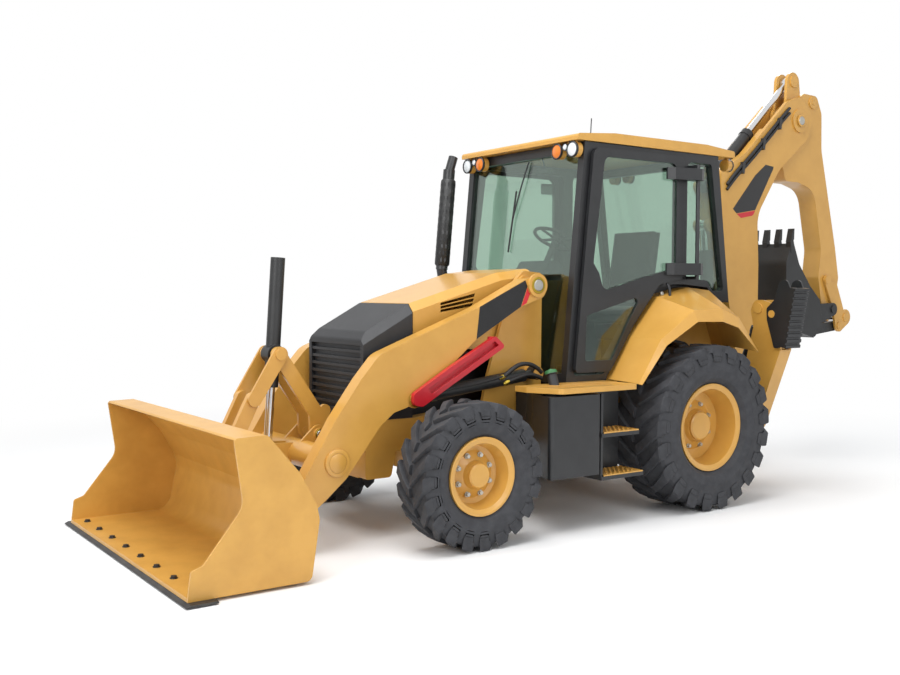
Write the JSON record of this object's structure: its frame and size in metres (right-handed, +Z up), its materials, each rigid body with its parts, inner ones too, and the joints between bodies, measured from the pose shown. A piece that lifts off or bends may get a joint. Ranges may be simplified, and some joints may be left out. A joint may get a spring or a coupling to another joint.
{
  "type": "backhoe loader",
  "caption": "Wheeled digger-loader with a wide front bucket on lift arms, a glazed cab, drop-down side stabilisers and a folded swinging digging arm at the rear.",
  "frame": {"origin": "middle of the machine's length and width, on the ground under its tyres", "axes": "+X forward to the front bucket, +Y to the operator's left, +Z up"},
  "size_m": [7.3029, 2.38, 3.7306],
  "materials": {
    "yellow_paint": "semi-gloss, ochre construction yellow",
    "black_paint": "satin black",
    "tinted_glass": "clear with a green tint",
    "seat_fabric": "woven, dark grey",
    "black_plastic": "textured matt",
    "red_paint": "gloss red",
    "worn_steel": "worn bright steel",
    "chrome_rod": "polished hard chrome",
    "rim_paint": "semi-gloss ochre yellow",
    "tyre_rubber": "matt black rubber"
  },
  "bodies": {
    "chassis": {"main_frame": "yellow_paint", "rear_frame": "yellow_paint", "front_axle": "yellow_paint", "rear_axle": "yellow_paint", "engine_block": "black_paint", "grille": "black_paint", "rear_fenders": "yellow_paint", "running_boards": "yellow_paint", "side_tanks": "black_paint", "cab_frame": "black_paint", "cab_roof": "yellow_paint", "cab_glass": "tinted_glass", "operator_seat": "seat_fabric", "dash_console": "black_plastic", "exhaust_stack": "black_paint"},
    "hood": {"hood": "yellow_paint"},
    "door_left": {"door_left": "black_paint", "door_glass_left": "tinted_glass"},
    "door_right": {"door_right": "black_paint", "door_glass_right": "tinted_glass"},
    "knuckle_left": {"knuckle_left": "black_paint"},
    "knuckle_right": {"knuckle_right": "black_paint"},
    "front_wheel_left": {"front_rim_left": "rim_paint", "front_tyre_left": "tyre_rubber"},
    "front_wheel_right": {"front_rim_right": "rim_paint", "front_tyre_right": "tyre_rubber"},
    "rear_wheel_left": {"rear_rim_left": "rim_paint", "rear_tyre_left": "tyre_rubber"},
    "rear_wheel_right": {"rear_rim_right": "rim_paint", "rear_tyre_right": "tyre_rubber"},
    "loader_arms": {"loader_arms": "yellow_paint", "lift_brace": "red_paint"},
    "lift_barrels": {"lift_barrels": "black_paint"},
    "lift_rods": {"lift_rods": "chrome_rod"},
    "loader_bucket": {"loader_bucket": "yellow_paint", "cutting_edge": "worn_steel"},
    "tilt_levers": {"tilt_levers": "yellow_paint"},
    "tilt_links": {"tilt_links": "yellow_paint"},
    "tilt_barrel": {"tilt_barrel": "black_paint"},
    "tilt_rod": {"tilt_rod": "chrome_rod"},
    "swing_frame": {"swing_frame": "black_paint"},
    "boom": {"boom": "yellow_paint"},
    "stick": {"stick": "yellow_paint"},
    "hoe_bucket": {"hoe_bucket": "black_paint"},
    "bucket_link": {"bucket_link": "black_paint"},
    "guide_levers": {"guide_levers": "yellow_paint"},
    "boom_barrel": {"boom_barrel": "black_paint"},
    "boom_rod": {"boom_rod": "chrome_rod"},
    "stick_barrel": {"stick_barrel": "black_paint"},
    "stick_rod": {"stick_rod": "chrome_rod"},
    "bucket_barrel": {"bucket_barrel": "black_paint"},
    "bucket_rod": {"bucket_rod": "chrome_rod"},
    "stabilizer_left": {"stabilizer_leg_left": "yellow_paint", "stabilizer_pad_left": "black_paint"},
    "stabilizer_barrel_left": {"stabilizer_barrel_left": "black_paint"},
    "stabilizer_rod_left": {"stabilizer_rod_left": "chrome_rod"},
    "stabilizer_right": {"stabilizer_leg_right": "yellow_paint", "stabilizer_pad_right": "black_paint"},
    "stabilizer_barrel_right": {"stabilizer_barrel_right": "black_paint"},
    "stabilizer_rod_right": {"stabilizer_rod_right": "chrome_rod"}
  },
  "joints": [
    {"name": "hood_open", "type": "hinge", "parent": "chassis", "child": "hood", "pos_m": [1.7065, 0, 1.559], "axis": [0, 1, 0], "range_deg": [0, 50]},
    {"name": "door_left_open", "type": "hinge", "parent": "chassis", "child": "door_left", "pos_m": [-0.6285, 0.795, 2.2], "axis": [0, 0, 1], "range_deg": [0, 90]},
    {"name": "door_right_open", "type": "hinge", "parent": "chassis", "child": "door_right", "pos_m": [-0.6285, -0.795, 2.2], "axis": [0, 0, -1], "range_deg": [0, 90]},
    {"name": "steer_left", "type": "hinge", "parent": "chassis", "child": "knuckle_left", "pos_m": [1.6555, 0.7, 0.478], "axis": [0, 0, 1], "range_deg": [-38, 38]},
    {"name": "steer_right", "type": "hinge", "parent": "chassis", "child": "knuckle_right", "pos_m": [1.6555, -0.7, 0.478], "axis": [0, 0, 1], "range_deg": [-38, 38]},
    {"name": "front_wheel_left_spin", "type": "hinge", "parent": "knuckle_left", "child": "front_wheel_left", "pos_m": [1.6555, 0.9475, 0.478], "axis": [0, 1, 0], "continuous": true},
    {"name": "rear_wheel_left_spin", "type": "hinge", "parent": "chassis", "child": "rear_wheel_left", "pos_m": [-0.5185, 0.857, 0.63], "axis": [0, 1, 0], "continuous": true},
    {"name": "front_wheel_right_spin", "type": "hinge", "parent": "knuckle_right", "child": "front_wheel_right", "pos_m": [1.6555, -0.9475, 0.478], "axis": [0, 1, 0], "continuous": true},
    {"name": "rear_wheel_right_spin", "type": "hinge", "parent": "chassis", "child": "rear_wheel_right", "pos_m": [-0.5185, -0.857, 0.63], "axis": [0, 1, 0], "continuous": true},
    {"name": "loader_lift", "type": "hinge", "parent": "chassis", "child": "loader_arms", "pos_m": [0.8025, 0, 1.698], "axis": [0, -1, 0], "range_deg": [0, 78]},
    {"name": "lift_barrels_turn", "type": "hinge", "parent": "chassis", "child": "lift_barrels", "pos_m": [0.7685, 0, 1.063], "axis": [0, -1, 0], "range_deg": [-0.5, 63.56]},
    {"name": "lift_rods_slide", "type": "slide", "parent": "lift_barrels", "child": "lift_rods", "axis": [0.9931, 0, -0.1174], "range_m": [-0.002, 0.7157]},
    {"name": "bucket_tilt", "type": "hinge", "parent": "loader_arms", "child": "loader_bucket", "pos_m": [2.7715, 0, 0.255], "axis": [0, 1, 0], "range_deg": [-35, 105]},
    {"name": "tilt_levers_turn", "type": "hinge", "parent": "loader_arms", "child": "tilt_levers", "pos_m": [2.3215, 0, 0.693], "axis": [0, -1, 0], "range_deg": [-69.02, 23.34]},
    {"name": "tilt_links_turn", "type": "hinge", "parent": "loader_bucket", "child": "tilt_links", "pos_m": [2.9215, 0, 0.67], "axis": [0, -1, 0], "range_deg": [-32.67, 97.01]},
    {"name": "tilt_barrel_turn", "type": "hinge", "parent": "tilt_levers", "child": "tilt_barrel", "pos_m": [2.5995, 0, 1.235], "axis": [0, -1, 0], "range_deg": [-3.93, 10.78]},
    {"name": "tilt_rod_slide", "type": "slide", "parent": "tilt_barrel", "child": "tilt_rod", "axis": [0.065, 0, -0.9979], "range_m": [-0.3743, 0.1261]},
    {"name": "hoe_swing", "type": "hinge", "parent": "chassis", "child": "swing_frame", "pos_m": [-1.8285, 0, 0.6], "axis": [0, 0, 1], "range_deg": [-90, 90]},
    {"name": "boom_lower", "type": "hinge", "parent": "swing_frame", "child": "boom", "pos_m": [-2.0785, 0, 0.83], "axis": [0, -1, 0], "range_deg": [0, 100]},
    {"name": "boom_barrel_turn", "type": "hinge", "parent": "swing_frame", "child": "boom_barrel", "pos_m": [-1.7335, 0, 0.985], "axis": [0, -1, 0], "range_deg": [-0.5, 94.22]},
    {"name": "boom_rod_slide", "type": "slide", "parent": "boom_barrel", "child": "boom_rod", "axis": [0.0983, 0, 0.9952], "range_m": [-0.002, 0.5569]},
    {"name": "stick_out", "type": "hinge", "parent": "boom", "child": "stick", "pos_m": [-2.7595, 0, 3.268], "axis": [0, 1, 0], "range_deg": [0, 110]},
    {"name": "stick_barrel_turn", "type": "hinge", "parent": "boom", "child": "stick_barrel", "pos_m": [-1.6285, 0, 2.6], "axis": [0, -1, 0], "range_deg": [-0.5, 10.05]},
    {"name": "stick_rod_slide", "type": "slide", "parent": "stick_barrel", "child": "stick_rod", "axis": [-0.7294, 0, 0.6841], "range_m": [-0.5838, 0.002]},
    {"name": "hoe_bucket_uncurl", "type": "hinge", "parent": "stick", "child": "hoe_bucket", "pos_m": [-3.3185, 0, 1.488], "axis": [0, 1, 0], "range_deg": [0, 190]},
    {"name": "guide_levers_turn", "type": "hinge", "parent": "stick", "child": "guide_levers", "pos_m": [-3.2695, 0, 1.775], "axis": [0, -1, 0], "range_deg": [-130.8, 0.5]},
    {"name": "bucket_link_turn", "type": "hinge", "parent": "hoe_bucket", "child": "bucket_link", "pos_m": [-2.9915, 0, 1.276], "axis": [0, -1, 0], "range_deg": [-0.5, 91.58]},
    {"name": "bucket_barrel_turn", "type": "hinge", "parent": "stick", "child": "bucket_barrel", "pos_m": [-3.0195, 0, 3.473], "axis": [0, -1, 0], "range_deg": [-0.71, 0.5]},
    {"name": "bucket_rod_slide", "type": "slide", "parent": "bucket_barrel", "child": "bucket_rod", "axis": [-0.259, 0, -0.9659], "range_m": [-0.8682, 0.002]},
    {"name": "stabilizer_left_down", "type": "hinge", "parent": "chassis", "child": "stabilizer_left", "pos_m": [-1.4235, 0.627, 0.45], "axis": [-1, 0, 0], "range_deg": [0, 85]},
    {"name": "stabilizer_barrel_left_turn", "type": "hinge", "parent": "chassis", "child": "stabilizer_barrel_left", "pos_m": [-1.4235, 0.45, 0.62], "axis": [-1, 0, 0], "range_deg": [-0.5, 80.33]},
    {"name": "stabilizer_rod_left_slide", "type": "slide", "parent": "stabilizer_barrel_left", "child": "stabilizer_rod_left", "axis": [0, 0.3721, 0.9282], "range_m": [-0.002, 0.3178]},
    {"name": "stabilizer_right_down", "type": "hinge", "parent": "chassis", "child": "stabilizer_right", "pos_m": [-1.4235, -0.627, 0.45], "axis": [1, 0, 0], "range_deg": [0, 85]},
    {"name": "stabilizer_barrel_right_turn", "type": "hinge", "parent": "chassis", "child": "stabilizer_barrel_right", "pos_m": [-1.4235, -0.45, 0.62], "axis": [1, 0, 0], "range_deg": [-0.5, 80.33]},
    {"name": "stabilizer_rod_right_slide", "type": "slide", "parent": "stabilizer_barrel_right", "child": "stabilizer_rod_right", "axis": [0, -0.3721, 0.9282], "range_m": [-0.002, 0.3178]}
  ],
  "couplings": [
    {"joint": "steer_right", "follows": "steer_left", "ratio": 1},
    {"joint": "lift_barrels_turn", "follows": "loader_lift", "ratio": 0.80849},
    {"joint": "lift_rods_slide", "follows": "loader_lift", "m_per_rad": 0.52427},
    {"joint": "tilt_levers_turn", "follows": "bucket_tilt", "ratio": -0.65254},
    {"joint": "tilt_links_turn", "follows": "bucket_tilt", "ratio": 0.91915},
    {"joint": "tilt_barrel_turn", "follows": "bucket_tilt", "ratio": 0.0979},
    {"joint": "tilt_rod_slide", "follows": "bucket_tilt", "m_per_rad": -0.20313},
    {"joint": "boom_barrel_turn", "follows": "boom_lower", "ratio": 0.9372},
    {"joint": "boom_rod_slide", "follows": "boom_lower", "m_per_rad": 0.31794},
    {"joint": "stick_barrel_turn", "follows": "stick_out", "ratio": 0.08684},
    {"joint": "stick_rod_slide", "follows": "stick_out", "m_per_rad": -0.30307},
    {"joint": "guide_levers_turn", "follows": "hoe_bucket_uncurl", "ratio": -0.68578},
    {"joint": "bucket_link_turn", "follows": "hoe_bucket_uncurl", "ratio": 0.47935},
    {"joint": "bucket_barrel_turn", "follows": "hoe_bucket_uncurl", "ratio": -0.00108},
    {"joint": "bucket_rod_slide", "follows": "hoe_bucket_uncurl", "m_per_rad": -0.26122},
    {"joint": "stabilizer_barrel_left_turn", "follows": "stabilizer_left_down", "ratio": 0.93917},
    {"joint": "stabilizer_rod_left_slide", "follows": "stabilizer_left_down", "m_per_rad": 0.2129},
    {"joint": "stabilizer_barrel_right_turn", "follows": "stabilizer_right_down", "ratio": 0.93917},
    {"joint": "stabilizer_rod_right_slide", "follows": "stabilizer_right_down", "m_per_rad": 0.2129}
  ]
}
